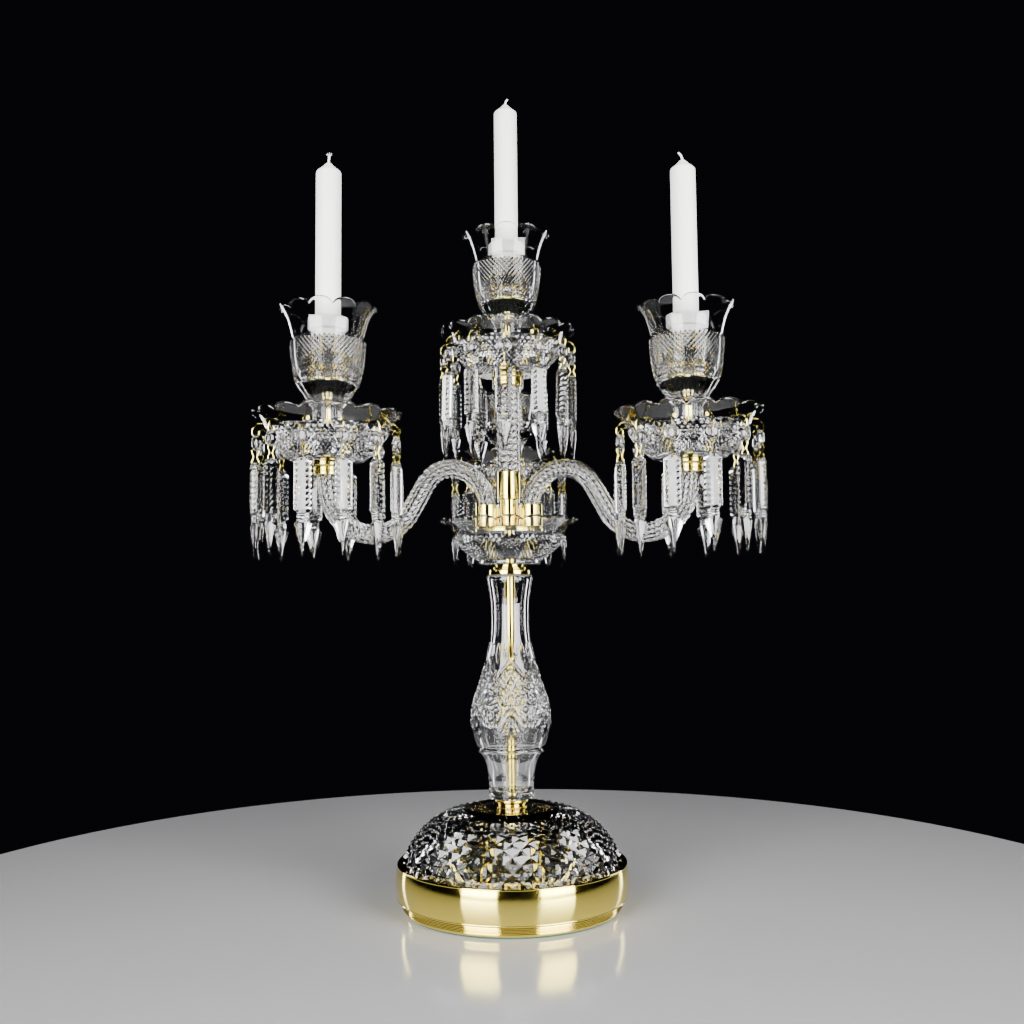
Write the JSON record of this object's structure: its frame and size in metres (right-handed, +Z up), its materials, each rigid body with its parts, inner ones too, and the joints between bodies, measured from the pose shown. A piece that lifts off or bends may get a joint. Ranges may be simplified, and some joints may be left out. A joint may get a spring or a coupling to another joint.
{
  "type": "tabletop candelabra",
  "caption": "Table candelabra in cut crystal and polished brass: rope-twist glass arms, scalloped drip pans hung with prisms, candle cups and a domed weighted base.",
  "frame": {"origin": "centre of the felt under the base, on the surface that the candelabra stands on", "axes": "+Z up along the column; -Y is the front, with two arms forward to the left (-X) and right (+X) and the third straight back (+Y)"},
  "size_m": [0.4411, 0.399, 0.7675],
  "materials": {
    "brass": "polished and lacquered",
    "crystal": "clear cut lead crystal, fire polished",
    "wax": "white dipped wax, satin",
    "collar": "white moulded, satin",
    "felt": "dark green felt",
    "iron": "as cast, painted",
    "steel": "zinc plated",
    "seal": "dark grey soft vinyl"
  },
  "bodies": {
    "stand": {"base_felt": "felt", "base_foot_ring": "brass", "base_skirt": "brass", "base_weight": "iron", "base_washer": "steel", "base_nut": "steel", "base_dome": "crystal", "base_coupling": "brass", "support_rod": "brass", "column_glass": "crystal", "column_seals": "seal", "column_flange": "brass", "receiver_bowl": "crystal", "arm_plate": "brass", "arm_cups": "brass", "arm_cup_screws": "steel", "centre_pillar": "brass", "pillar_nut": "steel", "centre_coupler": "brass", "centre_stem": "crystal", "arm_left": "crystal", "arm_right": "crystal", "arm_back": "crystal", "cup_studs": "brass", "seat_washers": "brass", "strand_hooks": "brass", "strand_links": "brass", "end_cap_left": "brass", "pan_left": "crystal", "cup_left": "crystal", "socket_left": "brass", "collar_left": "collar", "strands_left": "crystal", "end_cap_right": "brass", "pan_right": "crystal", "cup_right": "crystal", "socket_right": "brass", "collar_right": "collar", "strands_right": "crystal", "end_cap_back": "brass", "pan_back": "crystal", "cup_back": "crystal", "socket_back": "brass", "collar_back": "collar", "strands_back": "crystal", "end_cap_centre": "brass", "pan_centre": "crystal", "cup_centre": "crystal", "socket_centre": "brass", "collar_centre": "collar", "strands_centre": "crystal"},
    "candle_left": {"candle_left": "wax"},
    "strand_left": {"swing_strand_left": "crystal"},
    "candle_right": {"candle_right": "wax"},
    "strand_right": {"swing_strand_right": "crystal"},
    "candle_back": {"candle_back": "wax"},
    "strand_back": {"swing_strand_back": "crystal"},
    "candle_centre": {"candle_centre": "wax"},
    "strand_centre": {"swing_strand_centre": "crystal"}
  },
  "joints": [
    {"name": "candle_left_lift", "type": "slide", "parent": "stand", "child": "candle_left", "axis": [0, 0, 1], "range_m": [0, 0.05]},
    {"name": "strand_left_swing", "type": "hinge", "parent": "stand", "child": "strand_left", "pos_m": [-0.21283, -0.11186, 0.4174], "axis": [-0.9336, -0.3584, 0], "range_deg": [-8, 8]},
    {"name": "candle_right_lift", "type": "slide", "parent": "stand", "child": "candle_right", "axis": [0, 0, 1], "range_m": [0, 0.05]},
    {"name": "strand_right_swing", "type": "hinge", "parent": "stand", "child": "strand_right", "pos_m": [0.21244, -0.11285, 0.4174], "axis": [0.9272, -0.3746, 0], "range_deg": [-8, 8]},
    {"name": "candle_back_lift", "type": "slide", "parent": "stand", "child": "candle_back", "axis": [0, 0, 1], "range_m": [0, 0.05]},
    {"name": "strand_back_swing", "type": "hinge", "parent": "stand", "child": "strand_back", "pos_m": [-0.01579, 0.23892, 0.4174], "axis": [-0.2588, 0.9659, 0], "range_deg": [-8, 8]},
    {"name": "candle_centre_lift", "type": "slide", "parent": "stand", "child": "candle_centre", "axis": [0, 0, 1], "range_m": [0, 0.05]},
    {"name": "strand_centre_swing", "type": "hinge", "parent": "stand", "child": "strand_centre", "pos_m": [-0.00319, -0.06092, 0.5115], "axis": [-0.0523, -0.9986, 0], "range_deg": [-8, 8]}
  ]
}
